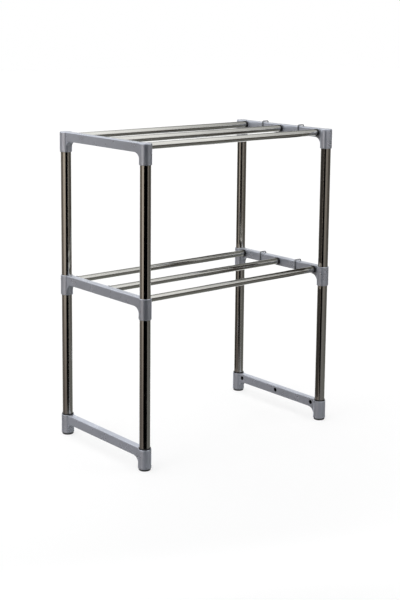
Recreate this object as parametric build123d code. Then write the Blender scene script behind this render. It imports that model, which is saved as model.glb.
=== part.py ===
"""Two-tier rack of push-fit tubes in moulded side frames, to stand a microwave oven on or in.

X runs to the right, Y to the back and Z up, in millimetres. The origin is on the floor, in the
middle of the four feet. Each side has a foot frame, a middle frame and a top frame, one above the
other, with a steel leg between them at the front and at the back. Three steel rails join the two
top frames and three join the two middle frames. The foot frames have the same holes, left empty.
"""
from build123d import *
from math import sqrt
import os

# Steel tubes
leg_d = 25.0
leg_wall = 0.8
leg_length = 364.0
rail_d = 16.0
rail_wall = 0.7

# Plan of the rack: leg axes, and the outer rails in from the leg axes
leg_spacing_x = 562.0
leg_spacing_y = 310.0
rail_setback = 24.0

# Moulded bar of a side frame: an upside-down channel with cross ribs
bar_width = 17.0
bar_height = 22.0
bar_wall = 2.5
bar_top_round = 2.0
bar_bottom_round = 0.8
rib_thickness = 2.0
ribs_per_gap = 2
gusset_radius = 17.5
rail_drop = 10.0

# Leg sockets of the side frames
socket_wall = 2.1
foot_socket_wall = 1.65
foot_lip = 0.35
foot_lip_height = 6.0
foot_socket_height = 46.0
top_socket_height = 48.0
grip_below_stop = 23.0
grip_above_stop = 22.0
stop_thickness = 3.0
stop_ledge = 3.0
top_cap_thickness = 3.8
foot_floor = 5.0
cap_round = 2.0
rim_round = 1.2
lip_round = 0.2

# Rail end caps: a flange against the bar, a spigot in its hole and a plug in the rail
flange_lip = 1.0
flange_thickness = 6.0
flange_round = 0.6
spigot_d = 11.0
spigot_length = 12.0
spigot_chamfer = 0.6
hole_extra_depth = 1.0
hole_boss_wall = 2.2
plug_length = 18.0
plug_wall = 2.75

# Black collars in the mouths of the foot sockets
collar_height = 2.8
collar_inset = 1.2
collar_round = 0.6
sleeve_wall = 1.0
sleeve_length = 18.0

# Rubber pads under the feet
pad_inset = 1.5
pad_height = 4.0
pad_chamfer = 1.0
peg_d = 18.0
peg_height = 3.0

# Wire clips over the right-hand bars
clip_wire_d = 3.0
clip_bend = 4.0
clip_rise = 3.0
clip_end_round = 0.6

# Clearances
fit_gap = 0.05
seat_gap = 0.3
spigot_gap = 0.1
peg_gap = 0.1
clip_gap = 0.2

# Heights that follow from the tubes
foot_bore_z = pad_height + foot_floor
foot_top_z = pad_height + foot_socket_height
lower_leg_z = foot_bore_z + seat_gap
stop_z = lower_leg_z + leg_length + seat_gap
middle_bottom_z = stop_z - grip_below_stop
middle_top_z = stop_z + stop_thickness + grip_above_stop
upper_leg_z = stop_z + stop_thickness + seat_gap
top_bore_end_z = upper_leg_z + leg_length + seat_gap
top_z = top_bore_end_z + top_cap_thickness
top_bottom_z = top_z - top_socket_height

# Plan places that follow
leg_x = leg_spacing_x / 2
leg_y = leg_spacing_y / 2
bar_inner_x = leg_x - bar_width / 2
outer_rail_y = leg_y - rail_setback
rail_places = {"front": -outer_rail_y, "middle": 0.0, "back": outer_rail_y}
clip_y = outer_rail_y / 2
sides = {"left": -1, "right": 1}
ends = {"front": -1, "back": 1}

# Diameters that follow from what fits inside what
leg_bore = leg_d + 2 * fit_gap
socket_d = leg_bore + 2 * socket_wall
stop_bore = leg_d - 2 * stop_ledge
sleeve_d = leg_bore + 2 * sleeve_wall
sleeve_bore = sleeve_d + 2 * fit_gap
foot_socket_d = sleeve_bore + 2 * foot_socket_wall
foot_lip_d = foot_socket_d + 2 * foot_lip
ring_d = foot_socket_d - 2 * collar_inset
pad_d = foot_socket_d - 2 * pad_inset
peg_bore = peg_d + 2 * peg_gap
hole_d = spigot_d + 2 * spigot_gap
hole_depth = spigot_length + hole_extra_depth
boss_d = hole_d + 2 * hole_boss_wall
rail_bore = rail_d - 2 * rail_wall
flange_d = rail_d + 2 * flange_lip
plug_d = rail_bore - 2 * fit_gap
plug_bore = plug_d - 2 * plug_wall


def standing_cylinder(diameter, z0, z1, x=0.0, y=0.0):
    """Upright cylinder from z0 to z1."""
    return Pos(x, y, (z0 + z1) / 2) * Cylinder(diameter / 2, z1 - z0)


def cross_cylinder(diameter, x0, x1, y, z):
    """Cylinder along X from x0 to x1."""
    return Pos((x0 + x1) / 2, y, z) * Rot(0, 90, 0) * Cylinder(diameter / 2, abs(x1 - x0))


def end_edges(solid, z):
    """Circular edges of a solid at height z."""
    return [e for e in solid.edges().filter_by(GeomType.CIRCLE) if abs(e.center().Z - z) < 0.01]


def rounded_bar(x, top):
    """Solid bar along Y with rounded long edges, its top face at the given height."""
    section = Plane.XZ * Rectangle(bar_width, bar_height)
    corners = section.vertices()
    section = fillet([v for v in corners if v.Z > 0], bar_top_round)
    low = [v for v in section.vertices() if v.Z < -bar_height / 2 + 0.01]
    section = fillet(low, bar_bottom_round)
    return Pos(x, 0, top - bar_height / 2) * extrude(section, leg_y, both=True)


def bar_meets_socket(socket):
    """Distance from the middle of the bar to where its side faces meet a socket."""
    return leg_y - sqrt((socket / 2) ** 2 - (bar_width / 2) ** 2)


def gusset(x, end, underside, socket):
    """Web under the bar that curves down into the side of a socket."""
    y_end = bar_meets_socket(socket)
    y_start = y_end - gusset_radius
    low = underside - gusset_radius
    middle = gusset_radius * sqrt(0.5)
    outline = [
        Line((end * y_start, underside), (end * leg_y, underside)),
        Line((end * leg_y, underside), (end * leg_y, low)),
        Line((end * leg_y, low), (end * y_end, low)),
        ThreePointArc(
            (end * y_end, low), (end * (y_start + middle), low + middle), (end * y_start, underside)
        ),
    ]
    web = make_face(Curve() + outline)
    return Pos(x, 0, 0) * extrude(Plane.YZ * web, bar_width / 2, both=True)


def channel(x, underside, top, socket):
    """Space inside the bar, open below, between the two gussets."""
    reach = bar_meets_socket(socket) - gusset_radius
    roof = top - bar_wall
    return Pos(x, 0, (underside + roof) / 2) * Box(bar_width - 2 * bar_wall, 2 * reach, roof - underside)


def rib_places():
    """Y places of the cross ribs, evenly spaced between the rail holes."""
    stations = sorted(rail_places.values())
    places = []
    for start, stop in zip(stations, stations[1:]):
        step = (stop - start) / (ribs_per_gap + 1)
        places += [start + step * (i + 1) for i in range(ribs_per_gap)]
    return places


def socket_body(x, y, z0, z1, diameter, bottom_round, top_round):
    """Outside of one leg socket, with both rims rounded."""
    body = standing_cylinder(diameter, z0, z1)
    body = fillet(end_edges(body, z0), bottom_round)
    body = fillet(end_edges(body, z1), top_round)
    return Pos(x, y, 0) * body


def framed_bar(side, top, z0, socket, bottom_round, top_round):
    """Bar, gussets and both sockets of a side frame, hollowed and ribbed, without its bores."""
    x = side * leg_x
    underside = top - bar_height
    frame = rounded_bar(x, top)
    for end in ends.values():
        frame += gusset(x, end, underside, socket)
        frame += socket_body(x, end * leg_y, z0, top, socket, bottom_round, top_round)
    frame -= channel(x, underside, top, socket)
    rib_foot = underside + bar_bottom_round
    rib_top = top - bar_wall / 2
    for y in rib_places():
        rib = Box(bar_width - bar_wall, rib_thickness, rib_top - rib_foot)
        frame += Pos(x, y, (rib_foot + rib_top) / 2) * rib
    inner = side * bar_inner_x
    half_boss = (bar_width - bar_wall) / 2
    z = top - rail_drop
    for y in rail_places.values():
        frame += cross_cylinder(boss_d, x - half_boss, x + half_boss, y, z)
        frame -= cross_cylinder(hole_d, inner, inner + side * hole_depth, y, z)
    return frame


def top_frame(side):
    """Side frame of the top shelf: its sockets are closed above."""
    frame = framed_bar(side, top_z, top_bottom_z, socket_d, rim_round, cap_round)
    for end in ends.values():
        frame -= standing_cylinder(leg_bore, top_bottom_z, top_bore_end_z, side * leg_x, end * leg_y)
    return frame


def middle_frame(side):
    """Side frame of the middle shelf: its sockets are open at both ends, with a stop between."""
    frame = framed_bar(side, middle_top_z, middle_bottom_z, socket_d, rim_round, rim_round)
    for end in ends.values():
        x, y = side * leg_x, end * leg_y
        frame -= standing_cylinder(leg_bore, middle_bottom_z, stop_z, x, y)
        frame -= standing_cylinder(leg_bore, stop_z + stop_thickness, middle_top_z, x, y)
        frame -= standing_cylinder(stop_bore, stop_z, stop_z + stop_thickness, x, y)
    return frame


def foot_frame(side):
    """Side frame on the floor: its sockets are closed below and hold a collar and a pad."""
    frame = framed_bar(side, foot_top_z, pad_height, foot_socket_d, cap_round, rim_round)
    sleeve_end_z = foot_top_z - sleeve_length - seat_gap
    lip_top = pad_height + foot_lip_height
    recess_top = pad_height + peg_height + seat_gap
    for end in ends.values():
        x, y = side * leg_x, end * leg_y
        frame += socket_body(x, y, pad_height, lip_top, foot_lip_d, cap_round, lip_round)
        frame -= standing_cylinder(leg_bore, foot_bore_z, foot_top_z, x, y)
        frame -= standing_cylinder(sleeve_bore, sleeve_end_z, foot_top_z, x, y)
        frame -= standing_cylinder(peg_bore, pad_height, recess_top, x, y)
    return frame


def leg(side, end, z0):
    """One leg tube from its lower end."""
    x, y = side * leg_x, end * leg_y
    tube = standing_cylinder(leg_d, z0, z0 + leg_length, x, y)
    return tube - standing_cylinder(leg_d - 2 * leg_wall, z0, z0 + leg_length, x, y)


def rail(y, top):
    """One shelf rail between the flanges of its two end caps."""
    reach = bar_inner_x - flange_thickness
    z = top - rail_drop
    return cross_cylinder(rail_d, -reach, reach, y, z) - cross_cylinder(rail_bore, -reach, reach, y, z)


def rail_cap(side, y, top):
    """End cap of a rail: plug, flange and spigot in one moulding."""
    flange = Pos(0, 0, flange_thickness / 2) * Cylinder(flange_d / 2, flange_thickness)
    flange = fillet(flange.edges().filter_by(GeomType.CIRCLE), flange_round)
    spigot = Pos(0, 0, flange_thickness + spigot_length / 2) * Cylinder(spigot_d / 2, spigot_length)
    spigot = chamfer(end_edges(spigot, flange_thickness + spigot_length), spigot_chamfer)
    plug = Pos(0, 0, -plug_length / 2) * Cylinder(plug_d / 2, plug_length)
    plug = chamfer(end_edges(plug, -plug_length), spigot_chamfer)
    hollow = Pos(0, 0, -plug_length / 2) * Cylinder(plug_bore / 2, plug_length)
    cap = flange + spigot + plug - hollow
    place = Pos(side * (bar_inner_x - flange_thickness), y, top - rail_drop)
    return place * Rot(0, side * 90, 0) * cap


def foot_collar(side, end):
    """Black ring on the mouth of a foot socket, with a sleeve down beside the leg."""
    sleeve_end = foot_top_z - sleeve_length
    ring_top = foot_top_z + collar_height
    ring = standing_cylinder(ring_d, foot_top_z, ring_top)
    ring = fillet(end_edges(ring, ring_top), collar_round)
    ring += standing_cylinder(sleeve_d, sleeve_end, ring_top)
    ring -= standing_cylinder(leg_bore, sleeve_end, ring_top)
    return Pos(side * leg_x, end * leg_y, 0) * ring


def foot_pad(side, end):
    """Rubber pad under a foot, held by a peg."""
    pad = standing_cylinder(pad_d, 0, pad_height)
    pad = chamfer(end_edges(pad, 0), pad_chamfer)
    pad += standing_cylinder(peg_d, 0, pad_height + peg_height)
    return Pos(side * leg_x, end * leg_y, 0) * pad


def bar_clip(y, top):
    """Wire clip that straddles the right-hand bar, midway between two rails."""
    reach = bar_width / 2 + clip_gap + clip_wire_d / 2
    low = top - bar_height
    arm = top + clip_rise
    corners = [(-reach, 0, low), (-reach, 0, arm), (reach, 0, arm), (reach, 0, low)]
    path = FilletPolyline(*corners, radius=clip_bend)
    wire = sweep(Plane(origin=corners[0], z_dir=(0, 0, 1)) * Circle(clip_wire_d / 2), path=path)
    wire = fillet(end_edges(wire, low), clip_end_round)
    return Pos(leg_x, y, 0) * wire


shelves = {"top": top_z, "middle": middle_top_z}
nodes = {}
for side_name, side in sides.items():
    nodes[f"top_frame_{side_name}"] = top_frame(side)
    nodes[f"middle_frame_{side_name}"] = middle_frame(side)
    nodes[f"foot_frame_{side_name}"] = foot_frame(side)
    for end_name, end in ends.items():
        place = f"{end_name}_{side_name}"
        nodes[f"upper_leg_{place}"] = leg(side, end, upper_leg_z)
        nodes[f"lower_leg_{place}"] = leg(side, end, lower_leg_z)
        nodes[f"foot_collar_{place}"] = foot_collar(side, end)
        nodes[f"foot_pad_{place}"] = foot_pad(side, end)
for shelf_name, shelf_top in shelves.items():
    for rail_name, rail_y in rail_places.items():
        nodes[f"{shelf_name}_rail_{rail_name}"] = rail(rail_y, shelf_top)
        for side_name, side in sides.items():
            cap_name = f"{shelf_name}_rail_cap_{rail_name}_{side_name}"
            nodes[cap_name] = rail_cap(side, rail_y, shelf_top)
    for end_name, end in ends.items():
        nodes[f"{shelf_name}_clip_{end_name}"] = bar_clip(end * clip_y, shelf_top)

os.makedirs("parts", exist_ok=True)
for name, shape in nodes.items():
    export_step(shape, f"parts/{name}.step")
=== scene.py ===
"""Looks of the two-tier rack: finishes, a pale studio floor, soft light and the camera."""
import math

import bpy
from mathutils import Matrix, Vector

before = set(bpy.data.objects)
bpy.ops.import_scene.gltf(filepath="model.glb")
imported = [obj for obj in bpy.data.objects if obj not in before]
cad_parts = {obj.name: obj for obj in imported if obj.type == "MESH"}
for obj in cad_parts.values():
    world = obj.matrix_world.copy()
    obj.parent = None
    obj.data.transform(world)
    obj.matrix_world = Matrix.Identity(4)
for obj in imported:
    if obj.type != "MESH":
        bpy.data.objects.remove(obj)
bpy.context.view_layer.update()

# Camera, in metres and degrees, in the rack's own frame
CAMERA_PLACE = Vector((-1.896, -2.2586, 1.0337))
CAMERA_YAW = 40.1
CAMERA_DOWN = 8.86
CAMERA_ROLL = -0.56
CAMERA_LENS_MM = 73.37
CAMERA_SHIFT_Y = -1 / 6

# Colours, linear
PLASTIC_GREY = (0.61, 0.645, 0.735)
STEEL = (0.72, 0.715, 0.69)
BLACK_PLASTIC = (0.012, 0.012, 0.013)
RUBBER = (0.030, 0.030, 0.031)
CLIP_GREY = (0.15, 0.155, 0.17)
# Painted shade: the near black laid into holes and deep recesses
PAINTED_HOLE_SHADE = (0.006, 0.006, 0.008)
BLACK = (0.0, 0.0, 0.0)
WHITE = (1.0, 1.0, 1.0, 1.0)
FLOOR_PALE = 0.20
FLOOR_LIFT = 0.74

# In the finishes below each noise is its scale per metre and its detail, each tone a factor on the
# colour, each relief the strength and the depth of a bump, and each reach is in metres
NOISE_SPAN = (0.3, 0.7)
ZERO_TO_ONE = (0.0, 1.0)
ONE_TO_ZERO = (1.0, 0.0)
EDGE_SAMPLES = 6
OPENNESS_SAMPLES = 8

# Moulded plastic
PLASTIC_CLOUD = (16.0, 3.0)
PLASTIC_CLOUD_TONES = (0.955, 1.045)
PLASTIC_SPECKS = (900.0, 2.0)
PLASTIC_SPECK_MOST = 0.12
PLASTIC_SPECK_TONE = 0.6
# Painted shade mixed with dirt: crevices, found by how little open air is round a point, are darkened
# in patches
DIRT_AND_SHADE_PATCHES = (70.0, 4.0)
DIRT_AND_SHADE_LEAST = 0.35
DIRT_AND_SHADE_REACH = 0.014
DIRT_AND_SHADE_OPENNESS = (0.45, 0.95)
DIRT_AND_SHADE_TONE = 0.35
RUBBED_PATCHES = (120.0, 5.0)
RUBBED_SPAN = (0.45, 0.62)
RUBBED_REACH = 0.0016
RUBBED_TURN = (0.80, 0.985)
RUBBED_TONE = 1.45
# Painted shade in holes: where little open air is left round a point, the colour goes to near black
HOLE_REACH = 0.016
HOLE_OPENNESS = (0.22, 0.48)
PLASTIC_GLOSS = (45.0, 4.0)
PLASTIC_GLOSS_CHANGE = (-0.05, 0.07)
PLASTIC_GRAIN = (2600.0, 2.0)
PLASTIC_RELIEF = (0.10, 0.0002)

# Polished steel
STEEL_CLOUD = (9.0, 3.0)
STEEL_CLOUD_TONES = (0.94, 1.05)
STEEL_LINES = (900.0, 3.0)
STEEL_LINE_STRETCH = 0.02
STEEL_LINE_MOST = 0.22
STEEL_LINE_TONE = 0.72
STEEL_ROUGHNESS = (0.09, 0.13)
STEEL_SMUDGES = (38.0, 5.0)
STEEL_SMUDGE_SPAN = (0.45, 0.75)
STEEL_SMUDGE_ROUGHNESS = (0.0, 0.05)
STEEL_RELIEF = (0.03, 0.00006)

# Rubber of the foot pads
RUBBER_DUST = (140.0, 5.0)
RUBBER_DUST_RANGE = (0.0, 0.5)
RUBBER_DUST_TONE = 2.2
RUBBER_ROUGHNESS = (0.62, 0.82)
RUBBER_GRAIN = (1500.0, 3.0)
RUBBER_RELIEF = (0.3, 0.0002)

# Coating of the clips
CLIP_CLOUD = (200.0, 4.0)
CLIP_CLOUD_TONES = (0.88, 1.15)
CLIP_ROUGHNESS = (0.34, 0.48)
CLIP_GRAIN = (2200.0, 2.0)
CLIP_RELIEF = (0.15, 0.0001)

FLOOR_SIZE = 30.0

# Wide suns: name, direction the light comes from, width in degrees, strength
SUNS = (
    ("light_above", (-0.15, 0.25, 1.0), 80.0, 3.1),
    ("light_left", (-1.0, -0.05, 0.25), 50.0, 2.9),
    ("light_front", (-0.50, -0.85, 0.03), 25.0, 1.6),
    ("light_right", (0.85, -0.60, 0.15), 40.0, 2.2),
)
WORLD_STRENGTH = 0.20
WORLD_STRENGTH_SEEN = 1.0

# Studio cards that polished surfaces mirror, as walls of a drum round the rack: name, first and
# last angle from the camera's side in degrees (positive to the camera's right), top height in
# metres, colour low down and high up
WALLS = (
    ("card_streak_left", -67.0, -20.0, 1.0, (0.18, 0.155, 0.14), (0.50, 0.44, 0.38)),
    ("card_left", -92.0, -67.0, 1.0, (0.085, 0.07, 0.06), (0.13, 0.105, 0.085)),
    ("card_side_left", -120.0, -92.0, 1.0, (0.17, 0.155, 0.145), (0.20, 0.18, 0.16)),
    ("card_far_left", -147.0, -120.0, 1.0, (0.08, 0.07, 0.06), (0.11, 0.095, 0.08)),
    ("card_streak_right", -20.0, 61.0, 1.0, (0.17, 0.165, 0.16), (0.24, 0.215, 0.19)),
    ("card_right", 61.0, 91.0, 1.0, (0.155, 0.155, 0.145), (0.09, 0.08, 0.07)),
    ("card_far_right", 91.0, 148.0, 1.0, (0.15, 0.152, 0.14), (0.095, 0.088, 0.075)),
)
WALL_FADE = (-0.60, 0.15)
DRUM_RADIUS = 2.5
DRUM_FLOOR = -2.0
DRUM_FLOOR_COLOUR = (0.185, 0.19, 0.17)
CARD_STEP = 5.0
FULL_TURN = 360.0

# Direction up, and the one face of a flat card whose corners run low, high at one end and then
# low, high at the other
UP = (0.0, 0.0, 1.0)
CARD_FACE = [(0, 2, 3, 1)]

# Black flag near the rack's front-left corner: its ends on the floor plan and the heights between
# which it is mirrored and between which it also holds back light
FLAG_ENDS = ((-1.02, -0.40), (-0.18, -0.80))
FLAG_MIRRORED = (-0.22, 1.9)
FLAG_SHADING = (0.25, 1.9)

# Dark cards close to the right legs, which mirror them as a wide dark band: their place across,
# their ends front to back and their heights, one card for each pair
SIDE_CARD_X = 0.25
SIDE_CARD_DEPTHS = ((-0.163, -0.060), (0.138, 0.145), (0.156, 0.260))
SIDE_CARD_HEIGHTS = ((0.055, 0.338), (0.405, 0.695))
SIDE_CARD_COLOUR = (0.045, 0.040, 0.036)

# Ceiling card over the rack, bright on the left and fading to the right and to the back
CEILING_HEIGHT = 1.3
CEILING_X = (-0.7, 2.5)
CEILING_Y = (-1.5, 2.0)
CEILING_BRIGHT = (1.05, 1.05, 1.03)
CEILING_DIM = (0.14, 0.14, 0.13)
CEILING_FADE_ALONG = (1.0, 0.45, 0.0)
CEILING_FADE = (0.26, 1.01)


class Finish:
    """A material whose node tree is built step by step around its main shader."""

    def __init__(self, name):
        self.material = bpy.data.materials.new(name)
        self.material.use_nodes = True
        self.tree = self.material.node_tree
        self.shader = self.tree.nodes["Principled BSDF"]

    def node(self, kind):
        return self.tree.nodes.new(kind)

    def link(self, source, target):
        self.tree.links.new(source, target)

    def noise(self, scale, detail, stretch=(1.0, 1.0, 1.0)):
        """Noise in the rack's own metres, stretched along one axis where asked."""
        coords = self.node("ShaderNodeTexCoord")
        mapping = self.node("ShaderNodeMapping")
        mapping.inputs["Scale"].default_value = stretch
        noise = self.node("ShaderNodeTexNoise")
        noise.inputs["Scale"].default_value = scale
        noise.inputs["Detail"].default_value = detail
        self.link(coords.outputs["Object"], mapping.inputs["Vector"])
        self.link(mapping.outputs["Vector"], noise.inputs["Vector"])
        return noise.outputs["Fac"]

    def ranged(self, value, result, span=NOISE_SPAN):
        """Value mapped from a span to a range of results and held inside it."""
        node = self.node("ShaderNodeMapRange")
        node.inputs["From Min"].default_value = span[0]
        node.inputs["From Max"].default_value = span[1]
        node.inputs["To Min"].default_value = result[0]
        node.inputs["To Max"].default_value = result[1]
        self.link(value, node.inputs["Value"])
        return node.outputs["Result"]

    def combined(self, operation, first, second):
        """Sum or product of two values."""
        node = self.node("ShaderNodeMath")
        node.operation = operation
        self.link(first, node.inputs[0])
        self.link(second, node.inputs[1])
        return node.outputs["Value"]

    def mixed(self, factor, first, second):
        """Colour between two; each is a colour or an output."""
        node = self.node("ShaderNodeMix")
        node.data_type = "RGBA"
        self.link(factor, node.inputs["Factor"])
        colour_inputs = [socket for socket in node.inputs if socket.type == "RGBA"]
        for socket, colour in zip(colour_inputs, (first, second)):
            if isinstance(colour, tuple):
                socket.default_value = (*colour, 1.0)
            else:
                self.link(colour, socket)
        return next(socket for socket in node.outputs if socket.type == "RGBA")

    def clouded(self, noise, colour, tones):
        """Colour that drifts between two tones."""
        cloud = self.ranged(self.noise(*noise), ZERO_TO_ONE)
        return cloud, self.mixed(cloud, shade(colour, tones[0]), shade(colour, tones[1]))

    def worn_edges(self, reach):
        """1 on edges, 0 on open faces."""
        bevel = self.node("ShaderNodeBevel")
        bevel.samples = EDGE_SAMPLES
        bevel.inputs["Radius"].default_value = reach
        geometry = self.node("ShaderNodeNewGeometry")
        dot = self.node("ShaderNodeVectorMath")
        dot.operation = "DOT_PRODUCT"
        self.link(bevel.outputs["Normal"], dot.inputs[0])
        self.link(geometry.outputs["Normal"], dot.inputs[1])
        return self.ranged(dot.outputs["Value"], ONE_TO_ZERO, RUBBED_TURN)

    def closeness(self, reach, span):
        """1 where little open air is left round a point, 0 in the open."""
        occlusion = self.node("ShaderNodeAmbientOcclusion")
        occlusion.samples = OPENNESS_SAMPLES
        occlusion.inputs["Distance"].default_value = reach
        return self.ranged(occlusion.outputs["AO"], ONE_TO_ZERO, span)

    def bump(self, height, strength, depth):
        """Fine relief."""
        bump = self.node("ShaderNodeBump")
        bump.inputs["Strength"].default_value = strength
        bump.inputs["Distance"].default_value = depth
        self.link(height, bump.inputs["Height"])
        self.link(bump.outputs["Normal"], self.shader.inputs["Normal"])


def shade(colour, factor):
    """Colour made darker or lighter."""
    return tuple(min(1.0, channel * factor) for channel in colour)


def moulded_plastic(name, colour, roughness, dirt_and_shade, wear, sheen=0.0):
    """Moulded plastic: cloudy tone, fine grain, specks, crevices darkened by patchy dirt and painted
    shade, holes darkened to near black by painted shade, and paler worn edges.
    """
    finish = Finish(name)
    finish.shader.inputs["Metallic"].default_value = sheen
    _, tone = finish.clouded(PLASTIC_CLOUD, colour, PLASTIC_CLOUD_TONES)
    speck = finish.ranged(finish.noise(*PLASTIC_SPECKS), (0.0, PLASTIC_SPECK_MOST))
    tone = finish.mixed(speck, tone, shade(colour, PLASTIC_SPECK_TONE))
    # Crevices darkened in patches, partly by dirt and partly by painted shade
    patchy = finish.ranged(finish.noise(*DIRT_AND_SHADE_PATCHES), (DIRT_AND_SHADE_LEAST * dirt_and_shade, dirt_and_shade))
    dirt_and_shade_share = finish.combined("MULTIPLY", finish.closeness(DIRT_AND_SHADE_REACH, DIRT_AND_SHADE_OPENNESS), patchy)
    tone = finish.mixed(dirt_and_shade_share, tone, shade(colour, DIRT_AND_SHADE_TONE))
    rubbed = finish.ranged(finish.noise(*RUBBED_PATCHES), (0.0, wear), RUBBED_SPAN)
    worn = finish.combined("MULTIPLY", finish.worn_edges(RUBBED_REACH), rubbed)
    tone = finish.mixed(worn, tone, shade(colour, RUBBED_TONE))
    # Painted shade: holes and deep recesses turn near black
    tone = finish.mixed(finish.closeness(HOLE_REACH, HOLE_OPENNESS), tone, PAINTED_HOLE_SHADE)
    finish.link(tone, finish.shader.inputs["Base Color"])
    roughnesses = tuple(roughness + change for change in PLASTIC_GLOSS_CHANGE)
    gloss = finish.ranged(finish.noise(*PLASTIC_GLOSS), roughnesses)
    finish.link(gloss, finish.shader.inputs["Roughness"])
    finish.bump(finish.noise(*PLASTIC_GRAIN), *PLASTIC_RELIEF)
    return finish.material


def polished_steel(name, stretch):
    """Drawn and polished tube: fine lines along it, faint smudges and patches of tone."""
    finish = Finish(name)
    finish.shader.inputs["Metallic"].default_value = 1.0
    _, tone = finish.clouded(STEEL_CLOUD, STEEL, STEEL_CLOUD_TONES)
    lines = finish.noise(*STEEL_LINES, stretch)
    line_share = finish.ranged(lines, (0.0, STEEL_LINE_MOST))
    tone = finish.mixed(line_share, tone, shade(STEEL, STEEL_LINE_TONE))
    finish.link(tone, finish.shader.inputs["Base Color"])
    smudge = finish.ranged(finish.noise(*STEEL_SMUDGES), STEEL_SMUDGE_ROUGHNESS, STEEL_SMUDGE_SPAN)
    rough = finish.combined("ADD", finish.ranged(lines, STEEL_ROUGHNESS), smudge)
    finish.link(rough, finish.shader.inputs["Roughness"])
    finish.bump(lines, *STEEL_RELIEF)
    return finish.material


def matt_rubber(name):
    """Dusty rubber."""
    finish = Finish(name)
    dust = finish.ranged(finish.noise(*RUBBER_DUST), RUBBER_DUST_RANGE)
    tone = finish.mixed(dust, RUBBER, shade(RUBBER, RUBBER_DUST_TONE))
    finish.link(tone, finish.shader.inputs["Base Color"])
    rough = finish.ranged(dust, RUBBER_ROUGHNESS, RUBBER_DUST_RANGE)
    finish.link(rough, finish.shader.inputs["Roughness"])
    finish.bump(finish.noise(*RUBBER_GRAIN), *RUBBER_RELIEF)
    return finish.material


def coated_wire(name):
    """Wire with a satin grey coating of uneven tone."""
    finish = Finish(name)
    cloud, tone = finish.clouded(CLIP_CLOUD, CLIP_GREY, CLIP_CLOUD_TONES)
    finish.link(tone, finish.shader.inputs["Base Color"])
    rough = finish.ranged(cloud, CLIP_ROUGHNESS, ZERO_TO_ONE)
    finish.link(rough, finish.shader.inputs["Roughness"])
    finish.bump(finish.noise(*CLIP_GRAIN), *CLIP_RELIEF)
    return finish.material


def dress_nodes():
    """Gives every CAD node its finish, by the first of these words in its name."""
    caps = moulded_plastic("black_cap", BLACK_PLASTIC, roughness=0.32, dirt_and_shade=0.3, wear=0.2)
    collars = moulded_plastic("black_collar", BLACK_PLASTIC, roughness=0.28, dirt_and_shade=0.3, wear=0.25)
    frames = moulded_plastic(
        "grey_plastic", PLASTIC_GREY, roughness=0.30, dirt_and_shade=0.55, wear=0.55, sheen=0.80
    )
    finishes = {
        "cap": caps,
        "collar": collars,
        "pad": matt_rubber("foot_rubber"),
        "clip": coated_wire("clip_coating"),
        "frame": frames,
        "leg": polished_steel("steel_leg", (1.0, 1.0, STEEL_LINE_STRETCH)),
        "rail": polished_steel("steel_rail", (STEEL_LINE_STRETCH, 1.0, 1.0)),
    }
    for name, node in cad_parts.items():
        kind = next(kind for kind in finishes if kind in name.split("_"))
        node.data.materials.clear()
        node.data.materials.append(finishes[kind])


def seen_directly(tree):
    """1 for rays that see the background directly or by way of metal and glass, else 0."""
    path = tree.nodes.new("ShaderNodeLightPath")
    seen = path.outputs["Is Camera Ray"]
    for kind in ("Is Glossy Ray", "Is Transmission Ray"):
        either = tree.nodes.new("ShaderNodeMath")
        either.operation = "MAXIMUM"
        tree.links.new(seen, either.inputs[0])
        tree.links.new(path.outputs[kind], either.inputs[1])
        seen = either.outputs["Value"]
    return seen


def bare_material(name):
    """Material with an empty node tree, that tree and its output."""
    material = bpy.data.materials.new(name)
    material.use_nodes = True
    material.node_tree.nodes.clear()
    return material, material.node_tree, material.node_tree.nodes.new("ShaderNodeOutputMaterial")


def pale_floor():
    """Floor that looks white and keeps the rack's soft shadow."""
    bpy.ops.mesh.primitive_plane_add(size=FLOOR_SIZE)
    floor = bpy.context.object
    floor.name = "floor"
    material, tree, output = bare_material("pale_floor")
    paper = tree.nodes.new("ShaderNodeBsdfDiffuse")
    paper.inputs["Color"].default_value = (FLOOR_PALE, FLOOR_PALE, FLOOR_PALE, 1.0)
    lift = tree.nodes.new("ShaderNodeEmission")
    lift.inputs["Strength"].default_value = FLOOR_LIFT
    lifted = tree.nodes.new("ShaderNodeAddShader")
    pick = tree.nodes.new("ShaderNodeMixShader")
    tree.links.new(paper.outputs[0], lifted.inputs[0])
    tree.links.new(lift.outputs[0], lifted.inputs[1])
    tree.links.new(seen_directly(tree), pick.inputs[0])
    tree.links.new(paper.outputs[0], pick.inputs[1])
    tree.links.new(lifted.outputs[0], pick.inputs[2])
    tree.links.new(pick.outputs[0], output.inputs["Surface"])
    floor.data.materials.append(material)
    floor.visible_glossy = False


def white_world():
    """World that is white to look at and lights the rack evenly."""
    world = bpy.data.worlds.new("studio")
    bpy.context.scene.world = world
    world.use_nodes = True
    tree = world.node_tree
    strength = tree.nodes.new("ShaderNodeMapRange")
    strength.inputs["To Min"].default_value = WORLD_STRENGTH
    strength.inputs["To Max"].default_value = WORLD_STRENGTH_SEEN
    tree.links.new(seen_directly(tree), strength.inputs["Value"])
    background = tree.nodes["Background"]
    background.inputs["Color"].default_value = WHITE
    tree.links.new(strength.outputs["Result"], background.inputs["Strength"])


def soft_light():
    """Wide light from above, from the front and from both sides, which isn't mirrored."""
    for name, place, width, strength in SUNS:
        data = bpy.data.lights.new(name, "SUN")
        data.energy = strength
        data.angle = math.radians(width)
        lamp = bpy.data.objects.new(name, data)
        lamp.rotation_euler = (-Vector(place)).to_track_quat("-Z", "Y").to_euler()
        lamp.visible_camera = False
        lamp.visible_glossy = False
        bpy.context.scene.collection.objects.link(lamp)


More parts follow.
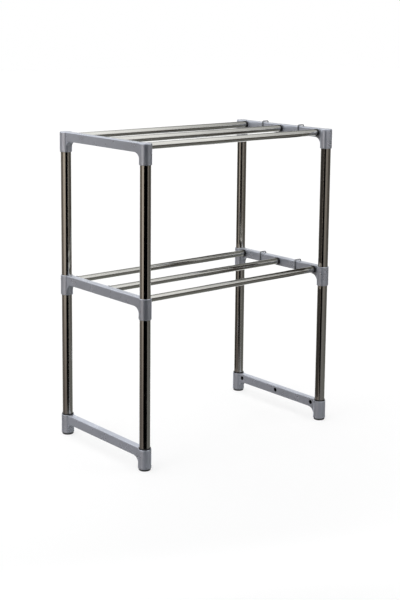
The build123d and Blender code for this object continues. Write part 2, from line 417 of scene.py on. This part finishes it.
def mirrored_only(name, points, faces, colours, along=UP, fade=WALL_FADE):
    """Stage card that only reflections see, fading between two colours along a direction."""
    mesh = bpy.data.meshes.new(name)
    mesh.from_pydata(points, [], faces)
    material, tree, output = bare_material(name)
    coords = tree.nodes.new("ShaderNodeTexCoord")
    reach = tree.nodes.new("ShaderNodeVectorMath")
    reach.operation = "DOT_PRODUCT"
    reach.inputs[1].default_value = along
    share = tree.nodes.new("ShaderNodeMapRange")
    share.inputs["From Min"].default_value = fade[0]
    share.inputs["From Max"].default_value = fade[1]
    blend = tree.nodes.new("ShaderNodeMix")
    blend.data_type = "RGBA"
    glow = tree.nodes.new("ShaderNodeEmission")
    ends = [socket for socket in blend.inputs if socket.type == "RGBA"]
    for socket, colour in zip(ends, colours):
        socket.default_value = (*colour, 1.0)
    blended = next(socket for socket in blend.outputs if socket.type == "RGBA")
    tree.links.new(coords.outputs["Object"], reach.inputs[0])
    tree.links.new(reach.outputs["Value"], share.inputs["Value"])
    tree.links.new(share.outputs["Result"], blend.inputs["Factor"])
    tree.links.new(blended, glow.inputs["Color"])
    tree.links.new(glow.outputs[0], output.inputs["Surface"])
    mesh.materials.append(material)
    card = bpy.data.objects.new(name, mesh)
    bpy.context.scene.collection.objects.link(card)
    card.visible_camera = False
    card.visible_diffuse = False
    card.visible_shadow = False
    card.visible_transmission = False


def black_flag():
    """Black flag by the front-left corner: polished surfaces mirror it, and it holds back light."""
    for name, heights in (("flag_mirrored", FLAG_MIRRORED), ("flag_shading", FLAG_SHADING)):
        corners = [(x, y, z) for x, y in FLAG_ENDS for z in heights]
        mirrored_only(name, corners, CARD_FACE, (BLACK, BLACK))
    shading = bpy.data.objects["flag_shading"]
    shading.visible_glossy = False
    shading.visible_diffuse = True
    shading.visible_shadow = True


def side_cards():
    """Dark cards inside the rack, beside the right legs."""
    colours = (SIDE_CARD_COLOUR, SIDE_CARD_COLOUR)
    for row, depths in enumerate(SIDE_CARD_DEPTHS):
        for level, heights in enumerate(SIDE_CARD_HEIGHTS):
            corners = [(SIDE_CARD_X, y, z) for y in depths for z in heights]
            mirrored_only(f"card_side_{row}_{level}", corners, CARD_FACE, colours)


def drum_arc(first, last, height):
    """Points round the drum at a height, between two angles from the camera's side."""
    camera_side = math.degrees(math.atan2(CAMERA_PLACE.y, CAMERA_PLACE.x))
    steps = round((last - first) / CARD_STEP)
    turns = [camera_side + first + (last - first) * i / steps for i in range(steps + 1)]
    angles = [math.radians(turn) for turn in turns]
    return [(DRUM_RADIUS * math.cos(angle), DRUM_RADIUS * math.sin(angle), height) for angle in angles]


def studio_cards():
    """Walls, floor and ceiling that polished surfaces mirror."""
    for name, first, last, top, low_colour, high_colour in WALLS:
        low = drum_arc(first, last, DRUM_FLOOR)
        count = len(low)
        faces = [(i, i + 1, count + i + 1, count + i) for i in range(count - 1)]
        points = low + drum_arc(first, last, top)
        mirrored_only(name, points, faces, (low_colour, high_colour))
    ring = drum_arc(0.0, FULL_TURN, DRUM_FLOOR)[:-1]
    disc = [tuple(range(len(ring)))]
    mirrored_only("card_floor", ring, disc, (DRUM_FLOOR_COLOUR, DRUM_FLOOR_COLOUR))
    corners = [(x, y, CEILING_HEIGHT) for x in CEILING_X for y in CEILING_Y]
    colours = (CEILING_BRIGHT, CEILING_DIM)
    mirrored_only("card_ceiling", corners, CARD_FACE, colours, CEILING_FADE_ALONG, CEILING_FADE)


def photo_camera():
    """Camera at the photograph's viewing angle."""
    data = bpy.data.cameras.new("camera")
    data.lens = CAMERA_LENS_MM
    data.shift_y = CAMERA_SHIFT_Y
    camera = bpy.data.objects.new("camera", data)
    bpy.context.scene.collection.objects.link(camera)
    yaw, down, roll = (math.radians(angle) for angle in (CAMERA_YAW, CAMERA_DOWN, CAMERA_ROLL))
    turn = Matrix.Rotation(-yaw, 4, "Z") @ Matrix.Rotation(math.pi / 2 - down, 4, "X")
    camera.matrix_world = Matrix.Translation(CAMERA_PLACE) @ turn @ Matrix.Rotation(-roll, 4, "Z")
    bpy.context.scene.camera = camera


bpy.context.scene.view_settings.view_transform = "Standard"
dress_nodes()
pale_floor()
white_world()
soft_light()
studio_cards()
black_flag()
side_cards()
photo_camera()
